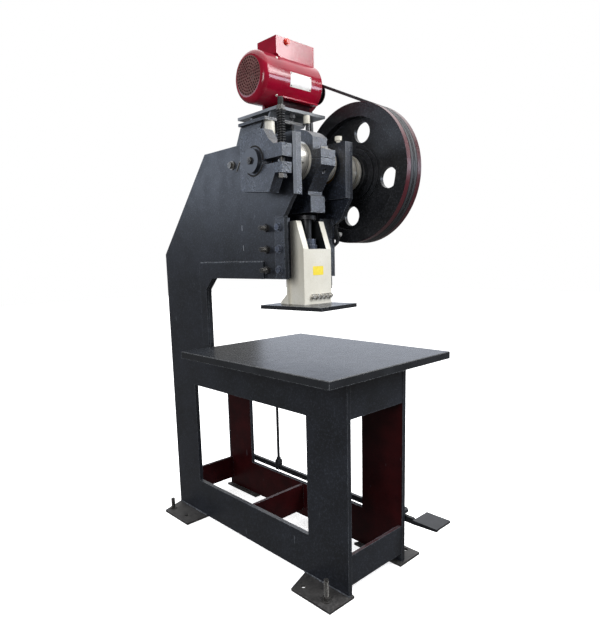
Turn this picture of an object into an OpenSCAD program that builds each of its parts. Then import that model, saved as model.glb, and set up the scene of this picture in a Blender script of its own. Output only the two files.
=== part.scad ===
// C-frame mechanical power press with a welded plate frame, top motor and side flywheel.
// Millimetres. X runs to the flywheel side, Y to the back, Z up from the floor.
// The origin lies on the floor, midway between the floor anchor holes.

/* [Stand] */
// Width over the stand's two side plates
frame_w = 300; // [260:1:340]
// Thickness of the side plates and head plates
plate_t = 16; // [12:1:20]
// Length of the stand from front to back
base_len = 1016; // [960:1:1060]
// Thickness of the foot plates
foot_t = 9; // [8:1:14]
// Width of the front leg
front_leg_w = 182; // [150:1:210]
// Width of the rear leg beside the window
rear_leg_w = 171; // [140:1:200]
// Height of the window's lower edge above the floor
sill_h = 155; // [152:1:170]
// Depth of the plate band between window and table
apron_h = 155; // [120:1:180]
// Thickness of the cross rails
rail_t = 12; // [8:1:14]
// Lower edge of the bottom rails above the floor
rail_low = 41; // [30:1:60]
// Height of the bottom rails
rail_h = 104; // [80:1:110]
// Length of a foot plate along its outer edge
foot_len = 176; // [170:1:182]
// Diameter of the floor anchor holes
anchor_d = 18; // [14:1:22]
// Distance across between the floor anchor holes
anchor_x = 424; // [412:1:440]
// Distance lengthwise between the free anchor holes
anchor_y = 722; // [700:1:740]
// Distance between the two anchor holes of one foot
anchor_step = 107; // [100:1:110]

/* [Table] */
// Height of the table's top above the floor
table_h = 756; // [730:1:780]
// Thickness of the table
table_t = 25; // [20:1:32]
// Width of the table
table_w = 608; // [560:1:640]
// Gap between the table's back edge and the column
table_gap = 34; // [20:1:60]
// How far the table stands out in front of the stand
table_front = 73; // [50:1:90]

/* [Head] */
// Width of the column behind the throat
column_w = 304; // [280:1:320]
// Height of the throat, from the table to the head's underside
throat_h = 263; // [250:1:274]
// Height of the head's top edge above the crankshaft
head_over = 86; // [80:1:94]
// Height where the back of the column starts to slope
shoulder_h = 1115; // [1080:1:1150]
// Size of the slope at the throat's inner corner
throat_cut = 44; // [30:1:60]
// Width and thickness of the edge band round the throat
band_w = 57; // [45:1:70]
// Thickness of the edge band
band_t = 9; // [6:1:12]
// Clear width between the inner faces of the head plates
head_w = 247; // [240:1:255]
// Thickness of the bearing blocks
block_t = 20; // [18:1:24]
// Crankshaft axis, distance in front of the stand's middle
crank_front = 205; // [202:1:208]
// Crankshaft axis, height above the head's underside
crank_up = 367; // [365:1:371]
// Nose of the bearing blocks, distance in front of the crankshaft
nose = 90; // [85:1:95]
// Front edge of the gib plate, distance in front of the crankshaft
gib_front = 41; // [38:1:46]
// Width of the gib plate
gib_w = 47; // [44:1:52]
// Height of the gib plate's top edge above the head's underside
gib_h = 202; // [190:1:210]

/* [Drive] */
// Radius of the crankshaft
shaft_r = 37; // [32:1:40]
// Throw of the eccentric, half the stroke
throw_e = 18; // [12:1:20]
// Radius of the eccentric
ecc_r = 58; // [56:1:62]
// Half width of the pitman's cap
cap_half = 72; // [71:1:76]
// Height of the pitman's cap over the eccentric's axis
cap_h = 100; // [94:1:106]
// Width of the pitman
pitman_w = 66; // [56:1:72]
// Radius of the flywheel
wheel_r = 248; // [240:1:256]
// Width of the flywheel's rim
rim_w = 82; // [76:1:86]
// Radial depth of the flywheel's rim
rim_d = 48; // [44:1:52]
// Near face of the flywheel's rim, distance from the right head plate
wheel_off = 97; // [95:1:105]
// Radius of the lightening holes in the flywheel
wheel_hole_r = 36; // [30:1:38]
// Pitch radius of the lightening holes
wheel_hole_pitch = 149; // [146:1:152]
// Radius of the motor pulley
pulley_r = 40; // [38:1:44]
// Spacing of the two belt grooves
groove_step = 22; // [21:1:25]
// Width of a V-belt
belt_w = 12; // [10:1:13]
// Thickness of a V-belt
belt_t = 9; // [7:1:10]

/* [Motor] */
// Motor axis, distance behind the stand's middle
motor_back = 20; // [16:1:24]
// Height of the motor axis above the base plate
motor_h = 116; // [114:1:120]
// Height of the base plate's top above the head
motor_up = 136; // [132:1:140]
// Radius of the motor's shell
motor_r = 88; // [86:1:92]
// Length of the motor's shell
motor_len = 180; // [175:1:190]
// Length of the fan cowl
cowl_len = 86; // [82:1:90]
// Thickness of the motor plates
motor_plate_t = 10; // [8:1:12]

/* [Slide] */
// Width of the slide
slide_w = 132; // [126:1:136]
// Front of the slide, distance in front of the crankshaft
slide_reach = 52; // [50:1:56]
// Height of the crankshaft above the slide's bottom, at the top of its stroke
slide_drop = 456; // [446:1:460]
// Height of the slide's solid front
slide_h = 186; // [170:1:195]
// Height of the slide with its two arms
arm_h = 280; // [270:1:284]
// Thickness of an arm
arm_t = 24; // [20:1:28]
// Width of the punch plate
punch_w = 200; // [180:1:210]
// Depth of the punch plate
punch_d = 263; // [240:1:270]
// Turn of the punch plate on the slide
punch_turn = 7.5; // [0:0.5:10]
// Thickness of the punch plate
punch_t = 13; // [10:1:16]

/* [Treadle] */
// Height of the treadle lever's pivot
pivot_h = 170; // [166:1:176]
// Pivot, distance behind the stand's middle
pivot_back = 440; // [430:1:450]
// Pull rod, distance in front of the pivot
rod_arm = 258; // [240:1:270]
// Thickness of the treadle lever
lever_t = 12; // [10:1:14]
// Height of the treadle lever's bar
lever_h = 22; // [18:1:26]

/* [Clearances] */
// Radial clearance of running and sliding fits
fit = 0.05; // [0.02:0.01:0.09]
// Gap between pieces that slide past each other
slip = 0.4; // [0.3:0.05:0.8]

/* [Hidden] */
$fn = 64;

// Paint and metal colours
frame_paint = "#34373d";
primer = "#5a1d22";
machined = "#b9b6ad";
black_oxide = "#222326";
motor_red = "#a3122f";
cream = "#e4e2d8";
bronze = "#a8803c";

// Frame positions
side_x = frame_w / 2;
inner_x = side_x - plate_t;
front_y = -base_len / 2;
back_y = base_len / 2;
table_low = table_h - table_t;
window_top = table_low - apron_h;
throat_y = back_y - column_w;
table_d = throat_y - table_gap - front_y + table_front;
head_low = table_h + throat_h;
crank_h = head_low + crank_up;
head_top = crank_h + head_over;
motor_plate_h = head_top + motor_up;
slide_low = crank_h - slide_drop;
crank_y = -crank_front;
nose_y = crank_y - nose;
gib_y = crank_y - gib_front;
gib_back = gib_y + gib_w;
gib_top = head_low + gib_h;
gib_gap = 1;
head_left = -inner_x;
head_right = head_left + head_w;
head_outer = head_right + plate_t;
head_x = head_left + head_w / 2;
head_back = 190;
ridge_y = 183;
nose_low = crank_h - 100;

// Feet
foot_w = 116;
anchor_far = anchor_y / 2 + anchor_step;
foot_out = anchor_x / 2 + 36;
foot_front = -anchor_far - 48;
foot_rear = anchor_y / 2 - 63;
nut_t = 10;

// Crank train, along X
bush_t = 8;
block_left = head_left + block_t;
block_right = head_right - block_t;
web_gap = 8;
drum_r = 41;
lining_t = 5.6;
brake_t = 38;
brake_gap = 44;
boss_out = brake_gap - 4;
boss_wide = 66;
brake_in = -side_x - brake_gap;
brake_out = brake_in - brake_t;
brake_x = brake_out + brake_t / 2;
jaw_bolt = 110;
brake_back = 68;
jaw_top = 38;
bolt_hole = 8.5;
spring_end = crank_h + 130;
slot_low = -17;
slot_h = 16;
shaft_left = brake_out - 15;
collar_in = head_outer + 3;
collar_len = 78;
collar_r = 60;
hub_in = collar_in + collar_len + 4;
wheel_in = head_outer + wheel_off;
wheel_out = wheel_in + rim_w;
hub_out = wheel_out + 5;
hub_r = 72;
step_r = 90;
boss_r = 105;
web_t = 16;
web_in = wheel_in + rim_w / 2 - web_t / 2 - 2;
end_in = hub_out + 3;
end_t = 20;
shaft_right = end_in + end_t + 5;
groove_x = (wheel_in + wheel_out) / 2;
wheel_pitch = wheel_r - belt_t;
pulley_pitch = pulley_r - belt_t;
groove_gap = 0.6;
wheel_turn = 10;
ecc_h = crank_h + throw_e;
pitman_left = head_x - pitman_w / 2;
pitman_bore = ecc_r + fit + 6;
ear_out = 108;
ear_up = 27;
ear_down = 22;
split_gap = 2;
ear_bolt = 90;
neck = 46;
block_half = 58;
block_low = crank_h - 150;

// Motor, along X
motor_h_abs = motor_plate_h + motor_h;
pulley_w = 46;
pulley_in = groove_x - pulley_w / 2;
bell_t = 33;
bell_out = pulley_in - 6;
shell_out = bell_out - bell_t;
shell_in = shell_out - motor_len;
cowl_in = shell_in - cowl_len;
shell_t = 6;
spindle_r = 12;
box_front = 50;
rotor_r = 52;
plate_low = motor_plate_h - motor_plate_t;
channel_h = 29;
bracket_top = plate_low - channel_h;
bracket_low = bracket_top - motor_plate_t;
tie_t = 14;
bracket_front = -80;
stud_r = 5;
stud_1 = [60, -72];
stud_2 = [head_right + plate_t / 2, -84];
tie_front = crank_y + 118;

// Slide
slide_y = crank_y;
slide_front = slide_y - slide_reach;
box_back = slide_y + 18;
rail_y = 8;
rail_out = 10;
rear_back = slide_y + 55;
guide_back = slide_y + 65;
slide_left = head_x - slide_w / 2;
slide_right = head_x + slide_w / 2;
slide_top = slide_low + arm_h;
notch_low = slide_low + slide_h;
punch_low = slide_low - punch_t;
punch_mid = [-38.5, slide_front + 20];
screw_r = 18;
screw_top = slide_top + 6;
screw_low = slide_low + 60;

// Trip lever
trip_pin = [crank_y + 4, head_low + 184];
trip_out = head_outer + 14;
trip_r = 6;

// Treadle
lever_x = side_x + 8;
rod_y = pivot_back - rod_arm;
rod_x = lever_x + lever_t / 2;
rod_r = 6;
rod_top = table_low - 16;
lug_h = table_low - 81;
lug_t = 12;
spring_low = lug_h + lug_t;
spring_top = rod_top - nut_t;

// Plate lying in the YZ plane, from x0 through thickness t
module x_plate(x0, t) {
    translate([x0, 0, 0]) rotate([90, 0, 90]) linear_extrude(t) children();
}

// Round bar along X between x0 and x1
module x_bar(x0, x1, r, y, z) {
    translate([x0, y, z]) rotate([0, 90, 0]) cylinder(h = x1 - x0, r = r);
}

// Ring along X between x0 and x1
module x_ring(x0, x1, r_out, r_in, y, z) {
    difference() {
        x_bar(x0, x1, r_out, y, z);
        x_bar(x0 - 1, x1 + 1, r_in, y, z);
    }
}

// Box given by its low corner and size
module box(low, size) {
    translate(low) cube(size);
}

// Hexagon bolt head or nut along X, standing out towards -X from x
module hex_x(x, y, z, flats, h) {
    translate([x - h, y, z]) rotate([0, 90, 0]) cylinder(h = h, d = flats / cos(30), $fn = 6);
}

// Hexagon head or nut along Z, standing up from z
module hex_z(x, y, z, flats, h) {
    translate([x, y, z]) cylinder(h = h, d = flats / cos(30), $fn = 6);
}

// Round wire coil about Z, standing on z = 0
module coil(radius, wire, height, turns) {
    sides = 8;
    steps = turns * 14;
    climb = height - wire;
    points = [for (i = [0:steps], j = [0:sides - 1])
        let (a = 360 * turns * i / steps, b = 360 * j / sides, r = radius + wire / 2 * cos(b))
        [r * cos(a), r * sin(a), wire / 2 + climb * i / steps + wire / 2 * sin(b)]];
    walls = [for (i = [0:steps - 1], j = [0:sides - 1])
        let (k = (j + 1) % sides)
        [i * sides + j, i * sides + k, (i + 1) * sides + k, (i + 1) * sides + j]];
    ends = [[for (j = [0:sides - 1]) sides - 1 - j], [for (j = [0:sides - 1]) steps * sides + j]];
    polyhedron(points, concat(walls, ends), convexity = 10);
}

// Window in a stand side plate
module window_2d() {
    translate([front_y + front_leg_w, sill_h])
        square([base_len - front_leg_w - rear_leg_w, window_top - sill_h]);
}

module left_side_plate() {
    color(frame_paint) difference() {
        x_plate(-side_x, plate_t) difference() {
            polygon([[front_y, foot_t], [back_y, foot_t], [back_y, shoulder_h], [ridge_y, head_top],
                [nose_y, head_top], [nose_y, nose_low], [gib_y, gib_top + gib_gap],
                [gib_back + gib_gap, gib_top + gib_gap], [gib_back + gib_gap, head_low],
                [throat_y - throat_cut, head_low], [throat_y, head_low - throat_cut],
                [throat_y, table_low], [front_y, table_low]]);
            window_2d();
        }
        x_bar(-side_x - 1, side_x, shaft_r + bush_t + fit, crank_y, crank_h);
    }
    color(frame_paint) x_ring(-side_x - boss_out, -side_x, boss_wide, shaft_r + bush_t + fit, crank_y, crank_h);
}

// Edge band on the outer face, round the throat's upper corner
module throat_band() {
    color(frame_paint) x_plate(-side_x - band_t, band_t)
        polygon([[throat_y, table_h + 4], [throat_y, head_low - throat_cut],
            [throat_y - throat_cut, head_low], [gib_back + 54, head_low],
            [gib_back + 54, head_low + band_w], [throat_y + 40, head_low + band_w],
            [throat_y + 40, table_h + 4]]);
}

module right_stand_plate() {
    color(frame_paint) x_plate(inner_x, plate_t) difference() {
        polygon([[front_y, foot_t], [back_y, foot_t], [back_y, window_top + 74],
            [throat_y - 20, table_low], [front_y, table_low]]);
        window_2d();
    }
}

module right_head_plate() {
    color(frame_paint) difference() {
        x_plate(head_right, plate_t)
            polygon([[head_back, head_low], [head_back, head_top], [nose_y, head_top],
                [nose_y, nose_low], [nose_y + 42, gib_top - 3], [crank_y - 2, gib_top - 26],
                [crank_y - 2, head_low]]);
        x_bar(head_right - 1, head_outer + 1, shaft_r + bush_t + fit, crank_y, crank_h);
    }
    color(frame_paint) {
        x_bar(head_outer, trip_out + 6, trip_r, trip_pin[0], trip_pin[1]);
        x_bar(trip_out + slip, trip_out + 6, trip_r + 4, trip_pin[0], trip_pin[1]);
    }
}

// Cross plate between the stand's side plates
module cross_plate(y, low, high) {
    color(primer) box([-inner_x, y, low], [2 * inner_x, rail_t, high - low]);
}

module front_rails() {
    cross_plate(front_y + 2, window_top + 18, table_low);
    cross_plate(front_y + 2, rail_low, rail_low + rail_h);
}

module middle_cross_plate() {
    cross_plate(-rail_t / 2, rail_low, sill_h - 4);
}

module rear_rails() {
    cross_plate(back_y - rail_t - 10, rail_low, rail_low + rail_h);
    cross_plate(back_y - rail_t - 10, window_top - 28, window_top + 70);
}

// Plates that tie the right head plate to the left side plate
module head_ties() {
    color(frame_paint) {
        box([head_left, tie_front, head_top - tie_t], [head_w, ridge_y - tie_front, tie_t]);
        box([head_left, head_back - tie_t - 14, head_low], [head_w, tie_t, head_top - tie_t - head_low]);
    }
}

module table() {
    edge = 3;
    front = front_y - table_front;
    color(black_oxide) difference() {
        box([-table_w / 2, front, table_low], [table_w, table_d, table_t]);
        for (s = [-1, 1])
            translate([s * table_w / 2, 0, table_h]) rotate([0, 45, 0])
                cube([edge, 3 * base_len, edge], center = true);
        for (y = [front, front + table_d])
            translate([0, y, table_h]) rotate([45, 0, 0])
                cube([3 * base_len, edge, edge], center = true);
    }
}

// Foot plates with slanted rear ends; the right ones sit further in
module foot_plates() {
    skew = 40;
    right_in = 16;
    color("#4b4a48") difference() {
        for (sx = [-1, 1], y = [foot_front, foot_rear]) linear_extrude(foot_t) {
            out = sx < 0 ? foot_out : foot_out - right_in;
            polygon([[sx * out, y], [sx * (out - foot_w), y],
                [sx * (out - foot_w), y + foot_len + skew], [sx * out, y + foot_len]]);
        }
        for (sx = [-1, 1], sy = [-1, 1], y = [anchor_y / 2, anchor_far])
            translate([sx * anchor_x / 2, sy * y, -1]) cylinder(h = foot_t + 2, d = anchor_d);
    }
}

// Loose floor bolts in the outer holes of the left feet
module floor_bolts() {
    bolt_r = anchor_d / 2 - 1.5;
    color("#54504a") {
        translate([-anchor_x / 2, -anchor_far, 0]) {
            cylinder(h = foot_t + 72, r = bolt_r);
            translate([0, 0, foot_t]) cylinder(h = 3, r = 17);
            hex_z(0, 0, foot_t + 3, 24, nut_t + 2);
        }
        translate([-anchor_x / 2, anchor_far, 0]) {
            cylinder(h = foot_t + 44, r = bolt_r);
            translate([0, 0, foot_t]) cylinder(h = 3, r = 15);
        }
    }
}

// Nose-shaped block that holds a bearing bush
module bearing_block(x0) {
    difference() {
        x_plate(x0, block_t)
            polygon([[crank_y + 112, nose_low], [crank_y + 112, head_top], [nose_y, head_top],
                [nose_y, nose_low]]);
        x_bar(x0 - 1, x0 + block_t + 1, shaft_r + bush_t + fit, crank_y, crank_h);
    }
}

module left_bearing_block() {
    color(frame_paint) bearing_block(head_left);
}

module right_bearing_block() {
    color(frame_paint) bearing_block(block_right);
}

module bearing_bushes() {
    color(bronze) {
        x_ring(-side_x - boss_out, block_left, shaft_r + bush_t, shaft_r + fit, crank_y, crank_h);
        x_ring(block_right, head_outer, shaft_r + bush_t, shaft_r + fit, crank_y, crank_h);
    }
}

// Front piece of the left cheek, which holds the left guide
module gib_plate() {
    color(frame_paint) box([-side_x, gib_y, head_low], [plate_t, gib_w, gib_h]);
}

// Slide guide, grooved for the slide's rail
module guide(x0, x1, front, low, side) {
    deep = rail_out + slip;
    difference() {
        box([x0, front, low], [x1 - x0, guide_back - front, gib_top - low]);
        box([side < 0 ? x1 - deep : x0 - 1, box_back - slip, low - 1],
            [deep + 1, rail_y + 2 * slip, gib_top - low + 2]);
    }
}

module left_guide() {
    flange_t = 24;
    flange_front = gib_y + 28;
    guide_front = crank_y + 10;
    color(frame_paint) {
        guide(head_left, slide_left - slip, guide_front, head_low, -1);
        box([head_left, flange_front, head_low], [flange_t, guide_front - flange_front, gib_h]);
    }
}

module right_guide() {
    color(frame_paint) guide(slide_right + slip, head_right, crank_y - 2, head_low - 44, 1);
}

function gib_rows() = [head_low + 30, head_low + 98, head_low + 168];

module gib_bolts() {
    color(machined) for (z = gib_rows()) {
        x_bar(-side_x - 2, -side_x, 14, gib_back - 20, z);
        hex_x(-side_x - 2, gib_back - 20, z, 19, 8);
    }
}

module gib_studs() {
    color("#3a3936") for (z = gib_rows()) {
        x_bar(-side_x - 34, -side_x, 7, gib_back + 38, z);
        hex_x(-side_x, gib_back + 38, z, 22, 11);
    }
}

module oil_cup() {
    color("#c9c2b0") translate([block_right + block_t / 2, crank_y - 50, head_top]) {
        cylinder(h = 8, r = 7);
        translate([0, 0, 8]) cylinder(h = 14, r = 12);
    }
}

// Two cheeks on the head's top tie, with the bracket plate on them
module motor_pedestal() {
    color(frame_paint) {
        for (x = [head_x - 50, head_x + 94])
            x_plate(x, motor_plate_t)
                polygon([[0, head_top], [120, head_top], [76, bracket_low], [-46, bracket_low]]);
        difference() {
            box([head_x - 65, bracket_front, bracket_low], [190, 150, motor_plate_t]);
            translate([stud_1[0], stud_1[1], bracket_low - 1]) cylinder(h = motor_plate_t + 2, r = stud_r + 1);
        }
    }
}

// Round posts: one under the bracket plate, one under the base plate
module spacer_posts() {
    post_h = channel_h - 1;
    color(cream) {
        translate([head_x - 27, bracket_front + 20, head_top]) cylinder(h = bracket_low - head_top, r = 18);
        translate([stud_2[0], stud_2[1], plate_low - post_h]) difference() {
            cylinder(h = post_h, r = 12);
            translate([0, 0, -1]) cylinder(h = post_h + 2, r = stud_r + fit);
        }
    }
}

// Trapezoid channel under the motor's base plate, open at the ends
module bracket_channel() {
    t = 8;
    color("#5d6066") translate([head_x - 10, -40, bracket_top]) rotate([90, 0, 90])
        linear_extrude(180) difference() {
            polygon([[10, 0], [90, 0], [110, channel_h], [-10, channel_h]]);
            polygon([[10 + t, t], [90 - t, t], [110 - t, channel_h + 1], [-10 + t, channel_h + 1]]);
        }
}

module motor_base_plate() {
    front = 114;
    back = 110;
    left = 55;
    right = 3;
    color(frame_paint) box([shell_in - left, motor_back - front, plate_low],
        [motor_len + left + right, front + back, motor_plate_t]);
}

// Adjusting studs between the head and the motor's base plate
module motor_studs() {
    color("#3a3936") for (p = [stud_1, stud_2]) translate([p[0], p[1], 0]) {
        translate([0, 0, head_top]) cylinder(h = plate_low - head_top, r = stud_r);
        hex_z(0, 0, head_top, 17, 8);
    }
    color("#3a3936") hex_z(stud_1[0], stud_1[1], plate_low - 16, 19, 16);
}

module motor_housing() {
    half = 74;
    color(motor_red) difference() {
        union() {
            x_bar(shell_in, shell_out, motor_r, motor_back, motor_h_abs);
            box([shell_in + 16, motor_back - half, motor_plate_h], [motor_len - 32, 2 * half, 8]);
            for (s = [-1, 1])
                x_plate(shell_in + 24, motor_len - 48)
                    polygon([[motor_back + s * 58, motor_plate_h], [motor_back + s * 50, motor_plate_h],
                        [motor_back + s * 44, motor_h_abs - 58], [motor_back + s * 60, motor_h_abs - 46]]);
        }
        x_bar(shell_in - 1, shell_out + 1, motor_r - shell_t, motor_back, motor_h_abs);
    }
}

module stator_core() {
    color("#6d6f73") x_ring(shell_in + 40, shell_out - 40, motor_r - shell_t, rotor_r + 0.6,
        motor_back, motor_h_abs);
}

// Round-edged cover over the fan, drilled in rings at its end
module fan_cowl() {
    wall = 2.5;
    r = motor_r;
    round_r = 24;
    color(motor_red) difference() {
        translate([cowl_in, motor_back, motor_h_abs]) rotate([0, 90, 0])
            rotate_extrude() difference() {
                union() {
                    translate([0, round_r]) square([r, cowl_len - round_r]);
                    square([r - round_r, cowl_len]);
                    translate([r - round_r, round_r]) circle(round_r);
                }
                translate([0, wall]) union() {
                    translate([-1, round_r]) square([r - wall + 1, cowl_len]);
                    translate([-1, 0]) square([r - round_r + 1, cowl_len]);
                    translate([r - round_r, round_r]) circle(round_r - wall);
                }
                translate([-2 * r, -1]) square([2 * r, 2 * cowl_len]);
            }
        for (ring = [1:6], i = [0:6 * ring - 1])
            let (a = 60 * i / ring, p = 10 * ring)
            x_bar(cowl_in - 1, cowl_in + wall + 1, 3.5, motor_back + p * cos(a),
                motor_h_abs + p * sin(a));
    }
}

// Rear bell inside the cowl and drive-end bell, each with its bearing seat
module end_bells() {
    seat = spindle_r + fit;
    color(motor_red) {
        x_ring(shell_in - 12, shell_in, motor_r - shell_t, seat, motor_back, motor_h_abs);
        translate([shell_out, motor_back, motor_h_abs]) rotate([0, 90, 0]) rotate_extrude()
            polygon([[seat, 0], [motor_r, 0], [motor_r, bell_t - 16], [motor_r - 14, bell_t - 6],
                [34, bell_t - 6], [30, bell_t], [seat, bell_t]]);
    }
}

module capacitor_box() {
    long = 188;
    wide = 103;
    cut = [19, 12];
    low = motor_h_abs + motor_r - 32;
    edge = motor_h_abs + sqrt(motor_r * motor_r - box_front * box_front);
    high = motor_h_abs + 142;
    start = shell_in + 5;
    color(motor_red) difference() {
        box([start, motor_back - box_front, low], [long, wide, high - low]);
        x_bar(start - 1, start + long + 1, motor_r, motor_back, motor_h_abs);
        translate([start, motor_back - box_front - 1, 0]) rotate([90, 0, 0]) mirror([0, 0, 1])
            linear_extrude(wide + 2)
            polygon([[-1, low - 1], [cut[0], low - 1], [cut[0], edge], [0, edge + cut[1]], [-1, edge + cut[1]]]);
    }
}

module box_knob() {
    color("#c23a2c") translate([shell_in + 56, motor_back - box_front, motor_h_abs + 130]) rotate([90, 0, 0]) {
        cylinder(h = 4, r = 12);
        cylinder(h = 10, r = 8);
    }
}

module motor_rotor() {
    color(machined) {
        x_bar(cowl_in + 22, pulley_in + pulley_w + 2, spindle_r, motor_back, motor_h_abs);
        x_bar(shell_in + 40, shell_out - 40, rotor_r, motor_back, motor_h_abs);
    }
}

module cooling_fan() {
    color("#26262a") {
        x_ring(cowl_in + 24, cowl_in + 60, 18, spindle_r, motor_back, motor_h_abs);
        for (a = [0:45:315]) translate([cowl_in + 28, motor_back, motor_h_abs]) rotate([a, 0, 0])
            box([0, -1.5, 17], [26, 3, 50]);
    }
}

// Profile of a grooved rim as seen along its axis: radius against width
module groove_cuts(r_out, middle) {
    half = belt_w / 2 + groove_gap;
    for (s = [-1, 1]) translate([0, middle + s * groove_step / 2])
        polygon([[r_out + 1, -half - 2.4], [r_out - belt_t - groove_gap, -half],
            [r_out - belt_t - groove_gap, half], [r_out + 1, half + 2.4]]);
}

module motor_pulley() {
    color("#2b2c30") translate([pulley_in, motor_back, motor_h_abs]) rotate([0, 90, 0])
        rotate_extrude() difference() {
            translate([spindle_r, 0]) square([pulley_r - spindle_r, pulley_w]);
            groove_cuts(pulley_r, pulley_w / 2);
        }
}

// Closed loop round two circles, as a flat outline
module belt_outline(r_wheel, r_pulley) {
    dy = motor_back - crank_y;
    dz = motor_h_abs - crank_h;
    span = sqrt(dy * dy + dz * dz);
    lean = atan2(dz, dy);
    reach = acos((r_wheel - r_pulley) / span);
    turns = 72;
    wheel_arc = [for (i = [0:turns]) let (a = reach + (360 - 2 * reach) * i / turns)
        [r_wheel * cos(a), r_wheel * sin(a)]];
    pulley_arc = [for (i = [0:turns / 3]) let (a = -reach + 2 * reach * i / (turns / 3))
        [span + r_pulley * cos(a), r_pulley * sin(a)]];
    translate([crank_y, crank_h]) rotate(lean) polygon(concat(wheel_arc, pulley_arc));
}

module v_belts() {
    color("#1f2022") for (s = [-1, 1])
        x_plate(groove_x + s * groove_step / 2 - belt_w / 2, belt_w) difference() {
            belt_outline(wheel_r, pulley_r);
            belt_outline(wheel_pitch, pulley_pitch);
        }
}

module flywheel() {
    bore = shaft_r + bush_t + fit;
    rim_in = wheel_r - rim_d;
    color(black_oxide) difference() {
        translate([0, crank_y, crank_h]) rotate([0, 90, 0]) rotate_extrude($fn = 128) difference() {
            union() {
                translate([bore, hub_in]) square([hub_r - bore, hub_out - hub_in]);
                translate([bore, web_in - 19]) square([step_r - bore, web_t + 38]);
                translate([bore, web_in - 7]) square([boss_r - bore, web_t + 14]);
                translate([bore, web_in]) square([rim_in + 2 - bore, web_t]);
                translate([rim_in, wheel_in]) square([rim_d, rim_w]);
            }
            groove_cuts(wheel_r, groove_x);
        }
        for (a = [0:90:270]) translate([0, crank_y, crank_h]) rotate([a + wheel_turn, 0, 0])
            x_bar(web_in - 1, web_in + web_t + 1, wheel_hole_r, 0, wheel_hole_pitch);
    }
}

module flywheel_bush() {
    color(bronze) x_ring(hub_in, hub_out, shaft_r + bush_t, shaft_r + fit, crank_y, crank_h);
}

// Clutch collar keyed to the shaft beside the flywheel's hub
module clutch_collar() {
    color(machined) {
        x_ring(collar_in, collar_in + collar_len - 20, collar_r, shaft_r, crank_y, crank_h);
        x_ring(collar_in + collar_len - 20, collar_in + collar_len, collar_r - 8, shaft_r,
            crank_y, crank_h);
    }
}

module end_collar() {
    color(machined) x_ring(end_in, end_in + end_t, 58, shaft_r, crank_y, crank_h);
}

module crankshaft() {
    centre_r = 7;
    color(machined) difference() {
        union() {
            x_bar(shaft_left, shaft_right, shaft_r, crank_y, crank_h);
            x_bar(block_left + web_gap, block_right - web_gap, ecc_r, crank_y, ecc_h);
        }
        x_bar(shaft_left - 1, shaft_left + 12, centre_r, crank_y, crank_h);
    }
}

module brake_drum() {
    color("#3b3c40") x_ring(brake_out, brake_in, drum_r, shaft_r, crank_y, crank_h);
}

// Lining strip round the drum, open at the clamp's slot
module brake_lining() {
    color("#6a5a48") difference() {
        x_ring(brake_out, brake_in, drum_r + slip + lining_t, drum_r + slip, crank_y, crank_h);
        box([brake_out - 1, crank_y - 2 * drum_r, crank_h + slot_low], [brake_t + 2, 2 * drum_r, slot_h]);
    }
}

// Split clamp round the lining, with two jaws at the front
module brake_body() {
    color(frame_paint) difference() {
        x_plate(brake_out, brake_t) translate([crank_y, crank_h]) difference() {
            polygon([[71, -85], [brake_back, -20], [brake_back, 40], [66, 65], [54, 87], [-11, 93],
                [-49, 89], [-72, 56], [-95, jaw_top], [-133, jaw_top - 2], [-130, -48], [-98, -45], [-68, -99]]);
            translate([-140, slot_low]) square([140, slot_h]);
        }
        x_bar(brake_out - 1, brake_in + 1, drum_r + slip + lining_t, crank_y, crank_h);
        translate([brake_x, crank_y - jaw_bolt, crank_h - 60]) cylinder(h = 130, r = bolt_hole);
    }
}

module brake_bolt() {
    head_h = 13;
    washer_t = 3;
    low = crank_h - 48 - head_h;
    color("#4a4a4c") translate([brake_x, crank_y - jaw_bolt, 0]) {
        translate([0, 0, low]) cylinder(h = crank_h + 168 - low, r = bolt_hole - 1);
        hex_z(0, 0, low, 24, head_h);
        translate([0, 0, spring_end]) cylinder(h = washer_t, r = 14);
        hex_z(0, 0, spring_end + washer_t, 22, 11);
    }
}

module brake_spring() {
    wire = 4.4;
    foot = crank_h + jaw_top + 1;
    color("#2a2b2e") translate([brake_x, crank_y - jaw_bolt, foot])
        coil(bolt_hole + wire / 2 + 0.4, wire, spring_end - foot - 0.6, 12);
}

// Distance bars that hold the clamp, a plate bolt, and a bent pin in the clamp's back edge
module brake_anchor() {
    bolt = [crank_y + 222, crank_h + 25];
    pin = [crank_y + brake_back, crank_h + 8];
    pin_r = 2.5;
    color("#2f2f31") {
        for (p = [[50, -64], [34, 72]]) x_bar(brake_in, -side_x, 9, crank_y + p[0], crank_h + p[1]);
        x_bar(-side_x - 3, -side_x, 15, bolt[0], bolt[1]);
        hex_x(-side_x - 3, bolt[0], bolt[1], 19, 10);
        translate([brake_out + 8, pin[0], pin[1]]) rotate([-90, 0, 0]) cylinder(h = 14, r = pin_r);
        translate([brake_out + 8, pin[0] + 14, pin[1]]) {
            sphere(pin_r + 0.6);
            rotate([-146, 0, 0]) cylinder(h = 30, r = pin_r);
        }
    }
}

module pitman_bush() {
    color(bronze) x_ring(pitman_left, pitman_left + pitman_w, pitman_bore, ecc_r + fit, crank_y, ecc_h);
}

// Outline points of the pitman's front half, from the split down to its foot
function pitman_side() = [[ear_out, -split_gap / 2], [ear_out, -ear_down], [86, -42], [68, -68],
    [neck, -100], [neck, -110], [block_half, -116], [block_half, block_low - ecc_h]];

module pitman_rod() {
    side = pitman_side();
    color(frame_paint) difference() {
        x_plate(pitman_left, pitman_w) translate([crank_y, ecc_h])
            polygon(concat(side, [for (i = [len(side) - 1:-1:0]) [-side[i][0], side[i][1]]]));
        x_bar(pitman_left - 1, pitman_left + pitman_w + 1, pitman_bore, crank_y, ecc_h);
        ear_holes();
    }
}

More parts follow.
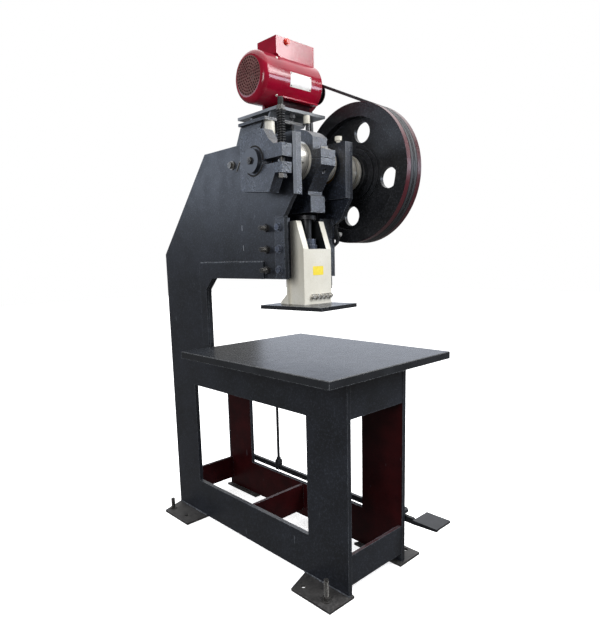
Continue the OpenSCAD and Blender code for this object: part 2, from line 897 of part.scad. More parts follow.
module pitman_cap() {
    color(frame_paint) difference() {
        x_plate(pitman_left, pitman_w) translate([crank_y, ecc_h]) difference() {
            union() {
                intersection() {
                    translate([-cap_half, 0]) square([2 * cap_half, 2 * cap_h]);
                    circle(cap_h);
                }
                translate([-ear_out, 0]) square([2 * ear_out, ear_up]);
            }
            translate([-200, split_gap / 2 - 200]) square([400, 200]);
        }
        x_bar(pitman_left - 1, pitman_left + pitman_w + 1, pitman_bore, crank_y, ecc_h);
        ear_holes();
    }
}

// Bolt holes through the pitman's ears
module ear_holes() {
    for (s = [-1, 1]) translate([head_x, crank_y + s * ear_bolt, ecc_h - 60]) cylinder(h = 120, r = 7.5);
}

module pitman_bolts() {
    color("#3a3936") for (s = [-1, 1]) translate([head_x, crank_y + s * ear_bolt, ecc_h]) {
        translate([0, 0, -ear_down]) cylinder(h = ear_up + ear_down, r = 7);
        hex_z(0, 0, ear_up, 22, 9);
    }
}

// Front box with two arms, a guide rail down each back edge, a hidden back block and two foot gussets
module slide() {
    lean = 34;
    gusset_t = 10;
    back_low = head_low + 42;
    rail_back = box_back + rail_y;
    color(cream) difference() {
        union() {
            x_plate(slide_left, slide_w)
                polygon([[slide_front, slide_low], [slide_front, notch_low], [slide_front + lean, slide_top],
                    [rear_back, slide_top], [rear_back, back_low], [rail_back, back_low],
                    [rail_back, slide_low]]);
            box([slide_left - rail_out, box_back, slide_low],
                [slide_w + 2 * rail_out, rail_y, arm_h]);
            for (x = [slide_left, slide_right - gusset_t])
                x_plate(x, gusset_t)
                    polygon([[rail_back - 1, slide_low], [rail_back + 42, slide_low],
                        [rail_back + 42, slide_low + 6], [rail_back + 12, slide_low + 32],
                        [rail_back - 1, slide_low + 32]]);
        }
        box([slide_left + arm_t, slide_front - 1, notch_low],
            [slide_w - 2 * arm_t, rear_back - slide_front + 2, slide_top - notch_low + 1]);
        translate([head_x, slide_y, screw_low]) cylinder(h = arm_h, r = screw_r);
    }
}

// Height adjusting screw with its flange under the pitman
module adjusting_screw() {
    color("#3d4048") translate([head_x, slide_y, 0]) {
        translate([0, 0, screw_low]) cylinder(h = screw_top - screw_low, r = screw_r);
        translate([0, 0, screw_top]) cylinder(h = 12, r = 34);
    }
}

module lock_collar() {
    color("#44474f") translate([head_x, slide_y, notch_low]) difference() {
        union() {
            cylinder(h = 14, r = 36);
            translate([0, 0, 14]) cylinder(h = 20, r = 32);
        }
        translate([0, 0, -1]) cylinder(h = 40, r = screw_r);
        for (a = [0:90:270]) rotate([0, 0, a + 45]) translate([20, 0, 24]) rotate([0, 90, 0])
            cylinder(h = 20, r = 4);
    }
}

module punch_plate() {
    color(black_oxide) translate([punch_mid[0], punch_mid[1], punch_low]) rotate([0, 0, punch_turn])
        translate([-punch_w / 2, -punch_d / 2, 0]) cube([punch_w, punch_d, punch_t]);
}

// Row of set screws across the slide's foot
module clamp_screws() {
    color("#2c2c2e") for (i = [-2:2]) translate([head_x + 14 + i * 21, slide_front, slide_low + 26])
        rotate([90, 0, 0]) {
            cylinder(h = 14, r = 5);
            cylinder(h = 8, d = 17 / cos(30), $fn = 6);
        }
}

// Treadle bar with its tread plate at the front
module pedal_lever() {
    tread_y = front_y - 128;
    bar_end = tread_y + 4;
    drop = lever_h / 2 + 6;
    color("#232428") difference() {
        union() {
            x_plate(lever_x, lever_t)
                polygon([[pivot_back + 18, pivot_h - 14], [pivot_back + 18, pivot_h + 14],
                    [pivot_back - 20, pivot_h + lever_h / 2], [tread_y + 100, pivot_h + lever_h / 2 - 6],
                    [tread_y + 96, pivot_h - 4], [bar_end, pivot_h - 4], [bar_end, pivot_h - 12],
                    [tread_y + 96, pivot_h - drop], [pivot_back - 20, pivot_h - lever_h / 2]]);
            box([lever_x - 6, tread_y, pivot_h - 6], [88, 96, 8]);
        }
        x_bar(lever_x - 1, lever_x + lever_t + 1, 10 + fit, pivot_back, pivot_h);
        x_bar(lever_x - 1, lever_x + lever_t + 1, 7.5, rod_y, pivot_h);
    }
}

// Fixed pieces on the right stand plate: pivot pin, lever stop and rod guide lug
module lever_mounts() {
    color("#2e2f33") {
        x_bar(side_x, lever_x - slip, 18, pivot_back, pivot_h);
        x_bar(side_x, lever_x + lever_t + slip, 10, pivot_back, pivot_h);
        x_bar(lever_x + lever_t + slip, lever_x + lever_t + 6, 16, pivot_back, pivot_h);
        x_bar(side_x, lever_x + lever_t + 6, 11, front_y + 14, pivot_h + lever_h / 2 + 7);
        difference() {
            box([side_x, rod_y - 16, lug_h], [rod_x + 14 - side_x, 32, lug_t]);
            translate([rod_x, rod_y, lug_h - 1]) cylinder(h = lug_t + 2, r = rod_r + slip);
        }
    }
}

// Pull rod with the clevis that straddles the lever
module pull_rod() {
    ear_t = 5;
    color("#4a4b4f") difference() {
        union() {
            translate([rod_x, rod_y, pivot_h + 24]) cylinder(h = rod_top - pivot_h - 24, r = rod_r);
            hex_z(rod_x, rod_y, rod_top - nut_t, 19, nut_t);
            box([lever_x - 1.2 - ear_t, rod_y - 10, pivot_h - 12], [lever_t + 2.4 + 2 * ear_t, 20, 44]);
            hex_z(rod_x, rod_y, pivot_h + 32, 19, 10);
            x_bar(lever_x - 1.2 - ear_t, lever_x + lever_t + 1.2 + ear_t, 6, rod_y, pivot_h);
        }
        difference() {
            box([lever_x - 1.2, rod_y - 11, pivot_h - 13], [lever_t + 2.4, 22, 13 + lever_h / 2 + 3]);
            x_bar(lever_x - 2, lever_x + lever_t + 2, 6, rod_y, pivot_h);
        }
    }
}

module return_spring() {
    color("#55565a") translate([rod_x, rod_y, spring_low]) coil(9, 2.2, spring_top - spring_low, 6);
}

// Small hand lever on the right head plate, with a ball knob
module trip_lever() {
    bar_x = head_outer + slip;
    bar_t = 8;
    knob = trip_pin - [13, 36];
    knob_r = 9;
    color("#27282b") difference() {
        union() {
            x_bar(bar_x, trip_out, 13, trip_pin[0], trip_pin[1]);
            x_plate(bar_x, bar_t) translate(trip_pin)
                polygon([[8, 4], [-8, 8], [-26, -50], [-20, -66], [12, -88], [16, -80], [-10, -62],
                    [-12, -48]]);
            x_bar(bar_x, bar_x + 16, 4, knob[0], knob[1]);
            translate([bar_x + 20, knob[0], knob[1]]) sphere(knob_r);
        }
        x_bar(bar_x - 1, trip_out + 1, trip_r + fit, trip_pin[0], trip_pin[1]);
    }
}

left_side_plate();
throat_band();
right_stand_plate();
right_head_plate();
front_rails();
middle_cross_plate();
rear_rails();
head_ties();
table();
foot_plates();
floor_bolts();
left_bearing_block();
right_bearing_block();
bearing_bushes();
gib_plate();
left_guide();
right_guide();
gib_bolts();
gib_studs();
oil_cup();
motor_pedestal();
spacer_posts();
bracket_channel();
motor_base_plate();
motor_studs();
motor_housing();
stator_core();
fan_cowl();
end_bells();
capacitor_box();
box_knob();
motor_rotor();
cooling_fan();
motor_pulley();
v_belts();
flywheel();
flywheel_bush();
clutch_collar();
end_collar();
crankshaft();
brake_drum();
brake_lining();
brake_body();
brake_bolt();
brake_spring();
brake_anchor();
pitman_bush();
pitman_rod();
pitman_cap();
pitman_bolts();
slide();
adjusting_screw();
lock_collar();
punch_plate();
clamp_screws();
pedal_lever();
lever_mounts();
pull_rod();
return_spring();
trip_lever();
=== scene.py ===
import math

import bmesh
import bpy
from mathutils import Matrix, Vector


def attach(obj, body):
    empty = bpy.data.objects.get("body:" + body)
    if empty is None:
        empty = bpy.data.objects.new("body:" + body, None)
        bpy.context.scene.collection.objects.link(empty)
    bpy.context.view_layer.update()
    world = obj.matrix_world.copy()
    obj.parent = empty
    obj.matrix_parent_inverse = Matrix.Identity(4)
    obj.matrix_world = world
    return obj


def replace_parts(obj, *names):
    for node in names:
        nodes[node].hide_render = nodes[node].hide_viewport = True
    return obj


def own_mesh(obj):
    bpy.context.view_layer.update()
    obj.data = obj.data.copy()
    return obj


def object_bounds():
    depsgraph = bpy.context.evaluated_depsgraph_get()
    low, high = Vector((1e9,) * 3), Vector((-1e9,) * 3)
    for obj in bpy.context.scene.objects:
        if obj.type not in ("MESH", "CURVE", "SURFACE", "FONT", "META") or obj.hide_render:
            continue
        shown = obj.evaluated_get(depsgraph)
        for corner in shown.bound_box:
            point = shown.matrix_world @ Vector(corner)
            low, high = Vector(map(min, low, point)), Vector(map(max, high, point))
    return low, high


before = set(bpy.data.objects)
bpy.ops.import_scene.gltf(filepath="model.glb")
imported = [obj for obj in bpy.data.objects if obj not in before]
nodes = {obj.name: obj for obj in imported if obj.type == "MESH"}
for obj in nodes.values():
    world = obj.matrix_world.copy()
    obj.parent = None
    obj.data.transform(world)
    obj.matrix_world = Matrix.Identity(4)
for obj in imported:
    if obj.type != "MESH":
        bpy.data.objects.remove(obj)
for spare in ("Cube", "Light", "Camera"):  # what a new Blender file starts with
    if spare in bpy.data.objects:
        bpy.data.objects.remove(bpy.data.objects[spare])
cadLow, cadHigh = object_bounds()
mm = 0.001
crankAxis = (-205.0, 1386.0)  # Y and Z in mm
motorAxis = (20.0, 1724.0)
print("frame loaded, nodes:", len(nodes))

# Camera where the photograph was taken, from the fitted view
cameraView = {
    "place": (-1.33, -1.55714, 1.0854),
    "right": (0.72439709, -0.68898147, -0.02352419),
    "up": (0.12644028, 0.09924019, 0.98699759),
    "back": (-0.67768851, -0.71795259, 0.15900432),
    "lens": 30.911,
    "sensor": 36.0,
    "shiftUp": 0.0511,
}
cameraData = bpy.data.cameras.new("photoCamera")
cameraData.lens = cameraView["lens"]
cameraData.sensor_width = cameraView["sensor"]
cameraData.shift_y = cameraView["shiftUp"]
camera = bpy.data.objects.new("photoCamera", cameraData)
bpy.context.scene.collection.objects.link(camera)
axes = [Vector(cameraView[k]) for k in ("right", "up", "back")]
camera.matrix_world = Matrix.Translation(cameraView["place"]) @ Matrix(axes).transposed().to_4x4()
bpy.context.scene.camera = camera
bpy.context.scene.view_settings.view_transform = "Standard"
print("camera ready")


def linear(hexColour):
    parts = [int(hexColour[i:i + 2], 16) / 255 for i in (1, 3, 5)]
    return tuple(p / 12.92 if p <= 0.04045 else ((p + 0.055) / 1.055) ** 2.4 for p in parts) + (1.0,)


def connect(tree, node, links):  # a socket is linked, a plain value is set
    for name, value in links.items():
        if isinstance(value, bpy.types.NodeSocket):
            tree.links.new(value, node.inputs[name])
        else:
            node.inputs[name].default_value = value


def addNode(tree, kind, links=None, out=None, **settings):  # gives the node, or the output that is asked for
    node = tree.nodes.new("ShaderNode" + kind)
    for name, value in settings.items():
        setattr(node, name, value)
    connect(tree, node, links or {})
    return node if out is None else node.outputs[out]


def newMaterial(name):
    material = bpy.data.materials.new(name)
    material.use_nodes = True
    tree = material.node_tree
    tree.nodes.clear()
    coords = addNode(tree, "TexCoord", out="Object")
    shader = addNode(tree, "BsdfPrincipled")
    addNode(tree, "OutputMaterial", {"Surface": shader.outputs["BSDF"]})
    return material, tree, coords, shader


def wear(tree, radius):  # 1 along worn outer edges, 0 on flats
    flat = addNode(tree, "NewGeometry", out="Normal")
    rounded = addNode(tree, "Bevel", {"Radius": radius}, "Normal", samples=4)
    turn = addNode(tree, "VectorMath", {0: flat, 1: rounded}, "Value", operation="DOT_PRODUCT")
    return addNode(tree, "MapRange", {"Value": turn, "From Min": 0.99, "From Max": 0.8}, "Result")


def facingUp(tree):  # 1 on what faces up, 0 on walls
    normal = addNode(tree, "NewGeometry", out="Normal")
    rise = addNode(tree, "SeparateXYZ", {"Vector": normal}, "Z")
    return addNode(tree, "MapRange", {"Value": rise, "From Min": 0.5, "From Max": 0.95}, "Result")


def patches(tree, coords, sizeMm, span, detail=3.0, stretch=None):  # cloudy 0 to 1, patches of that size
    if stretch:
        coords = addNode(tree, "Mapping", {"Vector": coords, "Scale": stretch}, "Vector")
    cloud = addNode(tree, "TexNoise", {"Vector": coords, "Scale": 1.0 / (sizeMm * mm), "Detail": detail}, "Fac")
    return addNode(tree, "MapRange", {"Value": cloud, "From Min": span[0], "From Max": span[1]}, "Result")


def within(tree, coords, box):  # 1 inside a box given in metres, 0 outside
    place = addNode(tree, "SeparateXYZ", {"Vector": coords})
    inside = None
    for axis, limits in box.items():
        for limit, test in zip(limits, ("GREATER_THAN", "LESS_THAN")):
            side = addNode(tree, "Math", {0: place.outputs[axis], 1: limit}, 0, operation=test)
            if inside is None:
                inside = side
            else:
                inside = addNode(tree, "Math", {0: inside, 1: side}, 0, operation="MULTIPLY")
    return inside


def outsideRing(tree, coords, ring):  # 1 beyond a radius from an axis along X, all in metres
    start = (0.0, -ring["axis"][0], -ring["axis"][1])
    moved = addNode(tree, "Mapping", {"Vector": coords, "Location": start}, "Vector")
    across = addNode(tree, "VectorMath", {0: moved, 1: (0.0, 1.0, 1.0)}, "Vector", operation="MULTIPLY")
    reach = addNode(tree, "VectorMath", {0: across}, "Value", operation="LENGTH")
    outside = addNode(tree, "Math", {0: reach, 1: ring["radius"]}, 0, operation="GREATER_THAN")
    along = within(tree, coords, {"X": ring["x"]})
    return addNode(tree, "Math", {0: outside, 1: along}, 0, operation="MULTIPLY")


def layer(tree, base, mask, colour, share=None):  # a colour laid over the base where the mask lets it show
    if share is not None:
        mask = addNode(tree, "Math", {0: mask, 1: share}, 0, operation="MULTIPLY")
    return addNode(tree, "Mix", {0: mask, 6: base, 7: linear(colour)}, 2, data_type="RGBA")


# What all the enamels share: sizes of patterns in mm, and which part of each pattern shows
enamelHabit = {
    "cloud": (0.3, 0.7), "speck": (0.52, 0.72), "speckDetail": 1.0,
    "mottleMm": 70.0, "sheen": 0.5, "bandShare": 0.9, "markShare": 0.8,
    "scratchMm": 9.0, "scratch": (0.73, 0.78), "scratchDetail": 2.0,
    "scratchWay": (0.06, 1.0, 0.12), "scratchShare": 0.5,
    "dustMm": 45.0, "dust": (0.3, 0.75), "rubMm": 14.0, "rub": (0.25, 0.6),
    "glossPatch": 0.4, "gloss": (0.2, 0.8),
    "peel": (0.0, 1.0), "peelDetail": 2.0, "peelDeep": 0.2,
    "ior": 1.5, "coatRough": 0.08,
}


def enamel(name, paint):
    # Brushed or sprayed enamel: broad uneven shade, rubbed edges a little lighter, dust on what faces up,
    # and a speckle of settled dust, drawn coarser than life so that it still shows
    material, tree, coords, shader = newMaterial(name)
    habit = enamelHabit
    shade = patches(tree, coords, paint["patchMm"], habit["cloud"])
    base = layer(tree, linear(paint["deep"]), shade, paint["colour"])
    speck = patches(tree, coords, paint["speckMm"], habit["speck"], habit["speckDetail"])
    base = layer(tree, base, speck, paint["speck"], paint["speckShare"])
    if "second" in paint:  # another coat inside a box, less what stays bare of it: real primer inside the stand, painted shade on the gib front, inside the slide's fork and on the motor foot's web
        second = paint["second"]
        mottle = patches(tree, coords, habit["mottleMm"], habit["cloud"])
        under = layer(tree, linear(second["deep"]), mottle, second["colour"])
        mask = within(tree, coords, second["box"])
        bare = [within(tree, coords, box) for box in second.get("bareBoxes", ())]
        bare += [outsideRing(tree, coords, ring) for ring in second.get("bareRings", ())]
        for place in bare:
            mask = addNode(tree, "Math", {0: mask, 1: place}, 0, operation="SUBTRACT", use_clamp=True)
        base = addNode(tree, "Mix", {0: mask, 6: base, 7: under}, 2, data_type="RGBA")
        sheen = {"Value": mask, "To Min": habit["sheen"], "To Max": second["sheen"]}
        connect(tree, shader, {"Specular IOR Level": addNode(tree, "MapRange", sheen, "Result")})
    for band in paint.get("bands", ()):
        base = layer(tree, base, outsideRing(tree, coords, band), band["colour"], habit["bandShare"])
    if "scratch" in paint:
        lines = patches(tree, coords, habit["scratchMm"], habit["scratch"], habit["scratchDetail"],
                        habit["scratchWay"])
        base = layer(tree, base, lines, paint["scratch"], habit["scratchShare"])
    for mark in paint.get("marks", ()):  # knocks down to the primer
        base = layer(tree, base, within(tree, coords, mark["box"]), mark["colour"], habit["markShare"])
    settled = patches(tree, coords, habit["dustMm"], habit["dust"])
    dust = addNode(tree, "Math", {0: facingUp(tree), 1: settled}, 0, operation="MULTIPLY")
    base = layer(tree, base, dust, paint["dust"], paint["dustShare"])
    rub = patches(tree, coords, habit["rubMm"], habit["rub"])
    edge = addNode(tree, "Math", {0: wear(tree, paint["edgeMm"] * mm), 1: rub}, 0, operation="MULTIPLY")
    base = layer(tree, base, edge, paint["edge"], paint["edgeShare"])
    gloss = patches(tree, coords, paint["patchMm"] * habit["glossPatch"], habit["gloss"])
    rough = {"Value": gloss, "To Min": paint["rough"][0], "To Max": paint["rough"][1]}
    peel = patches(tree, coords, paint["peelMm"], habit["peel"], habit["peelDetail"])
    deep = paint["peelMm"] * paint.get("peelDeep", habit["peelDeep"]) * mm
    connect(tree, shader, {
        "Base Color": base,
        "Roughness": addNode(tree, "MapRange", rough, "Result"),
        "Normal": addNode(tree, "Bump", {"Height": peel, "Strength": paint["peel"], "Distance": deep}, "Normal"),
        "IOR": paint.get("ior", habit["ior"]),
        "Coat Weight": paint.get("coat", 0.0),
        "Coat Roughness": habit["coatRough"],
    })
    return material


# What all the metals share
steelHabit = {
    "stain": (0.35, 0.7), "stainDetail": 5.0,
    "grain": (0.3, 0.7), "grainDetail": 2.0, "grainShare": 0.35, "grainDeepMm": 0.3,
    "edgeMm": 1.5,
}


def steel(name, metal):
    # Bare or oiled metal: tool marks, one way where it was turned, darker stains, brighter rubbed edges
    material, tree, coords, shader = newMaterial(name)
    habit = steelHabit
    stain = patches(tree, coords, metal["stainMm"], habit["stain"], habit["stainDetail"])
    base = layer(tree, linear(metal["colour"]), stain, metal["stain"])
    grain = patches(tree, coords, metal["grainMm"], habit["grain"], habit["grainDetail"], metal.get("grainWay"))
    base = layer(tree, base, grain, metal["grain"], habit["grainShare"])
    base = layer(tree, base, wear(tree, habit["edgeMm"] * mm), metal["edge"], metal["edgeShare"])
    metallic = metal["metallic"]
    if "painted" in metal:  # one end of the piece carries paint or a moulded sleeve
        mask = within(tree, coords, metal["painted"]["box"])
        base = layer(tree, base, mask, metal["painted"]["colour"])
        metallic = addNode(tree, "MapRange", {"Value": mask, "To Min": metallic, "To Max": 0.0}, "Result")
    rough = {"Value": grain, "To Min": metal["rough"][0], "To Max": metal["rough"][1]}
    marks = {"Height": grain, "Strength": metal["bump"], "Distance": habit["grainDeepMm"] * mm}
    connect(tree, shader, {
        "Base Color": base,
        "Roughness": addNode(tree, "MapRange", rough, "Result"),
        "Normal": addNode(tree, "Bump", marks, "Normal"),
        "Metallic": metallic,
    })
    return material


# What all the mouldings share
mouldedHabit = {"cloud": (0.3, 0.7), "bump": 0.25, "grainDeepMm": 0.2}


def moulded(name, plastic):
    # Moulded rubber or plastic: even colour with a fine cloudy grain and a soft sheen
    material, tree, coords, shader = newMaterial(name)
    habit = mouldedHabit
    cloud = patches(tree, coords, plastic["grainMm"], habit["cloud"])
    grain = {"Height": cloud, "Strength": habit["bump"], "Distance": habit["grainDeepMm"] * mm}
    connect(tree, shader, {
        "Base Color": layer(tree, linear(plastic["deep"]), cloud, plastic["colour"]),
        "Normal": addNode(tree, "Bump", grain, "Normal"),
        "Roughness": plastic["rough"],
    })
    return material


# Charcoal enamel, brushed on plate: cold near-black with specks, old maroon inside the stand, two pale knocks
standInside = {"X": (-0.1345, 0.1345), "Y": (-0.5055, 0.4975), "Z": (0.0, 0.7305)}
belowRail = {"Y": (-0.5055, -0.4), "Z": (0.0, 0.046)}
knocks = {"X": (-0.1505, -0.1495)}
frameCoat = {
    "colour": "#1f2229", "deep": "#15171b", "patchMm": 130.0,
    "speck": "#4e5460", "speckMm": 4.0, "speckShare": 0.35,
    "second": {"colour": "#380f11", "deep": "#270b0d", "sheen": 0.12, "box": standInside, "bareBoxes": [belowRail]},
    "scratch": "#8b9099", "dust": "#6a6d72", "dustShare": 0.35,
    "marks": [
        {"colour": "#a7abb2", "box": {**knocks, "Y": (-0.0266, -0.0243), "Z": (1.185, 1.204)}},
        {"colour": "#a7abb2", "box": {**knocks, "Y": (-0.0306, -0.0285), "Z": (1.116, 1.135)}},
    ],
    "edge": "#8a9098", "edgeMm": 2.2, "edgeShare": 0.75,
    "rough": (0.29, 0.42), "peelMm": 4.0, "peel": 0.4,
}
# Hammer enamel on castings: bluish glitter in a dimpled skin; the grain is drawn coarser than life so that it shows
headCoat = {
    "colour": "#20242c", "deep": "#16191f", "patchMm": 130.0,
    "speck": "#626c80", "speckMm": 5.0, "speckShare": 0.4,
    "scratch": "#8b9099", "dust": "#6a6d72", "dustShare": 0.35,
    "edge": "#8a9098", "edgeMm": 2.2, "edgeShare": 0.75,
    "rough": (0.24, 0.36), "peelMm": 5.0, "peel": 0.8, "peelDeep": 0.3, "ior": 1.62,
}
# The same enamel on the pedestal: almost black, with less glitter
pedestalCoat = {**headCoat, "colour": "#16181c", "deep": "#0f1113", "speckShare": 0.2}
# The same on the gib, with its front face painted near-black as painted shade, with a low sheen
gibFrontShade = {"Y": (-0.2465, -0.2445)}
gibCoat = {**headCoat, "second": {"colour": "#17191d", "deep": "#101215", "sheen": 0.1, "box": gibFrontShade}}
# The same on weld seams, where the ripples are rubbed to pale dots
seamCoat = {**headCoat, "colour": "#30353e", "speck": "#9aa0a8", "speckMm": 9.0, "speckShare": 0.7}
# Blackened and waxed plate: smooth and dark, it mirrors the light behind it, with bright worn edges
tableCoat = {
    "colour": "#25272b", "deep": "#17191c", "patchMm": 95.0,
    "speck": "#44474c", "speckMm": 4.0, "speckShare": 0.1,
    "dust": "#777a7d", "dustShare": 0.06,
    "edge": "#a3a7ac", "edgeMm": 2.0, "edgeShare": 0.8,
    "rough": (0.25, 0.29), "peelMm": 60.0, "peel": 0.02,
}
# Cream enamel, sprayed: warm white, a little greyed by handling
creamCoat = {
    "colour": "#e4e1d6", "deep": "#d8d4c6", "patchMm": 80.0,
    "speck": "#c4bfae", "speckMm": 6.0, "speckShare": 0.25,
    "dust": "#b5b0a2", "dustShare": 0.4,
    "edge": "#a8a394", "edgeMm": 1.6, "edgeShare": 0.6,
    "rough": (0.3, 0.45), "peelMm": 6.0, "peel": 0.25,
}
# The same on the slide, painted near-black inside the fork as painted shade in the recess
forkInsideShade = {"X": (-0.053, 0.032), "Z": (1.1155, 1.3)}
slideCoat = {**creamCoat, "second": {"colour": "#1f2022", "deep": "#141516", "sheen": 0.2, "box": forkInsideShade}}
# Grey enamel, sprayed: flat middle grey
greyCoat = {
    **creamCoat, "colour": "#80848a", "deep": "#64686d",
    "speck": "#9b9fa4", "dust": "#8d8f90", "edge": "#9ca0a4",
}
# Crimson enamel, sprayed and glossy: deep red with a sharp streak of light
redCoat = {
    "colour": "#9c0c2c", "deep": "#7c0820", "patchMm": 90.0,
    "speck": "#a02a42", "speckMm": 4.0, "speckShare": 0.2,
    "dust": "#a86a76", "dustShare": 0.3,
    "edge": "#b34a60", "edgeMm": 1.5, "edgeShare": 0.5,
    "rough": (0.12, 0.2), "peelMm": 7.0, "peel": 0.12, "coat": 0.15, "ior": 1.4,
}
# The same on the cowl, greyed with dust only over the holes
cowlFace = (-0.0625, -0.0575)
holeField = {"axis": [v * mm for v in motorAxis], "radius": 0.066, "x": cowlFace}
cowlCoat = {**redCoat, "second": {
    "colour": "#84605c", "deep": "#5f403e", "sheen": 0.2, "box": {"X": cowlFace}, "bareRings": [holeField]}}
# The same on the motor's shell, with the web of its foot painted near-black as painted shade under the shell and lip
footWebShade = {"X": (0.03, 0.206), "Y": (-0.046, -0.026), "Z": (1.616, 1.659)}
shellCoat = {**redCoat, "second": {"colour": "#2c0811", "deep": "#190409", "sheen": 0.1, "box": footWebShade}}
# Black enamel on the cast wheel: specked and slightly rough, a dark red line on both rims
rim = {"axis": [v * mm for v in crankAxis], "radius": 0.2470}
wheelCoat = {
    "colour": "#1c1d20", "deep": "#101113", "patchMm": 90.0,
    "speck": "#4c4f55", "speckMm": 4.0, "speckShare": 0.45,
    "dust": "#55575b", "dustShare": 0.3,
    "edge": "#5f6268", "edgeMm": 2.0, "edgeShare": 0.6,
    "rough": (0.25, 0.36), "peelMm": 5.0, "peel": 0.45,
    "bands": [
        {**rim, "x": (0.225, 0.2475), "colour": "#4e101b"},
        {**rim, "x": (0.2865, 0.309), "colour": "#431019"},
    ],
}
# Hot-rolled mill steel, walked on: brownish dark grey, blotched and rough
footMetal = {
    "colour": "#3c3b3b", "stain": "#212021", "stainMm": 38.0, "grain": "#716f6d", "grainMm": 7.0,
    "edge": "#96948e", "edgeShare": 0.6, "rough": (0.45, 0.7), "bump": 0.6, "metallic": 0.35,
}
# Plain cold-formed bolt steel: dull warm grey with bright corners
boltMetal = {
    "colour": "#6f6d69", "stain": "#3a3937", "stainMm": 12.0, "grain": "#a19f9a", "grainMm": 3.0,
    "edge": "#c5c3bd", "edgeShare": 0.6, "rough": (0.3, 0.5), "bump": 0.3, "metallic": 0.6,
}
# The same, oiled: dark, with bright thread tips and corners
studMetal = {
    **boltMetal, "colour": "#3d3c3b", "stain": "#1e1d1d", "grain": "#6f6d6a", "edge": "#a9a7a3", "rough": (0.28, 0.45),
}
# The same, zinc plated: bluish, with white corners
zincMetal = {
    **boltMetal, "colour": "#4c5261", "stain": "#2c303a", "grain": "#8b92a0", "edge": "#d3d7de", "edgeShare": 0.7,
    "rough": (0.25, 0.4),
}
# The same, polished by hands: silver with dark oily blotches
screwMetal = {
    **boltMetal, "colour": "#d6d3cc", "stain": "#262524", "stainMm": 11.0, "grain": "#e4e1db", "edge": "#efede8",
    "edgeShare": 0.5, "rough": (0.22, 0.36), "bump": 0.2,
}
# Turned steel: bright, with rings round the axis drawn coarser than life, the crankshaft's outer end painted
shaftEnd = {"X": (-0.26, -0.19)}
brightMetal = {
    "colour": "#e6e3dc", "stain": "#c0bbae", "stainMm": 60.0, "grain": "#f0eee8", "grainMm": 4.0,
    "grainWay": (1.0, 0.02, 0.02), "edge": "#e6e4de", "edgeShare": 0.5, "rough": (0.24, 0.38), "bump": 0.25,
    "metallic": 0.35, "painted": {"box": shaftEnd, "colour": "#26292f"},
}
# Turned bearing bronze: brownish yellow, with rings drawn coarser than life
bronzeMetal = {
    "colour": "#a5824c", "stain": "#6f5229", "stainMm": 20.0, "grain": "#c9a873", "grainMm": 3.0,
    "grainWay": (1.0, 0.05, 0.05), "edge": "#d8bc8b", "edgeShare": 0.4, "rough": (0.25, 0.4), "bump": 0.2,
    "metallic": 1.0,
}
# Oil-blackened steel: dark, with greyish rubbed edges
darkMetal = {
    "colour": "#26272a", "stain": "#17181a", "stainMm": 30.0, "grain": "#47494d", "grainMm": 4.0,
    "edge": "#6e7073", "edgeShare": 0.6, "rough": (0.32, 0.5), "bump": 0.4, "metallic": 0.4,
}
# The same on the trip lever, with its knob painted pale grey
leverKnob = {"X": (0.139, 0.17), "Y": (-0.23, -0.2), "Z": (1.15, 1.19)}
leverMetal = {**darkMetal, "painted": {"box": leverKnob, "colour": "#b9bbba"}}
# Drawn spring wire: black, with a thin line of light along each turn
springMetal = {
    "colour": "#1c1d1f", "stain": "#121315", "stainMm": 15.0, "grain": "#3a3c40", "grainMm": 2.0,
    "edge": "#4e5054", "edgeShare": 0.3, "rough": (0.3, 0.45), "bump": 0.2, "metallic": 0.5,
}
# Stacked electrical sheet: grey, striped by the edges of the sheets, drawn coarser than life
stackMetal = {
    "colour": "#6a6b6e", "stain": "#47484b", "stainMm": 20.0, "grain": "#8c8d90", "grainMm": 1.5,
    "grainWay": (1.0, 0.03, 0.03), "edge": "#9a9b9e", "edgeShare": 0.4, "rough": (0.4, 0.6), "bump": 0.6,
    "metallic": 0.9,
}
# Fabric-faced rubber: dull dark grey, slightly felted
beltRubber = {"colour": "#303236", "deep": "#1e2023", "grainMm": 3.0, "rough": 0.55}
# Moulded nylon: even black with a soft sheen
fanPlastic = {"colour": "#1d1e20", "deep": "#131416", "grainMm": 4.0, "rough": 0.5}
# Moulded phenolic: clear orange, nearly glossy
knobPlastic = {"colour": "#e0442e", "deep": "#c5321f", "grainMm": 5.0, "rough": 0.3}
# Woven friction lining: matt brownish black
wovenLining = {"colour": "#1d1a17", "deep": "#141210", "grainMm": 2.0, "rough": 0.8}
# Vinyl film: flat strong yellow
labelVinyl = {"colour": "#f7e14a", "deep": "#efd532", "grainMm": 9.0, "rough": 0.4}
# Lacquered sheet: white with a soft gloss
plateLacquer = {"colour": "#e9e7e4", "deep": "#d6d2ce", "grainMm": 12.0, "rough": 0.28}

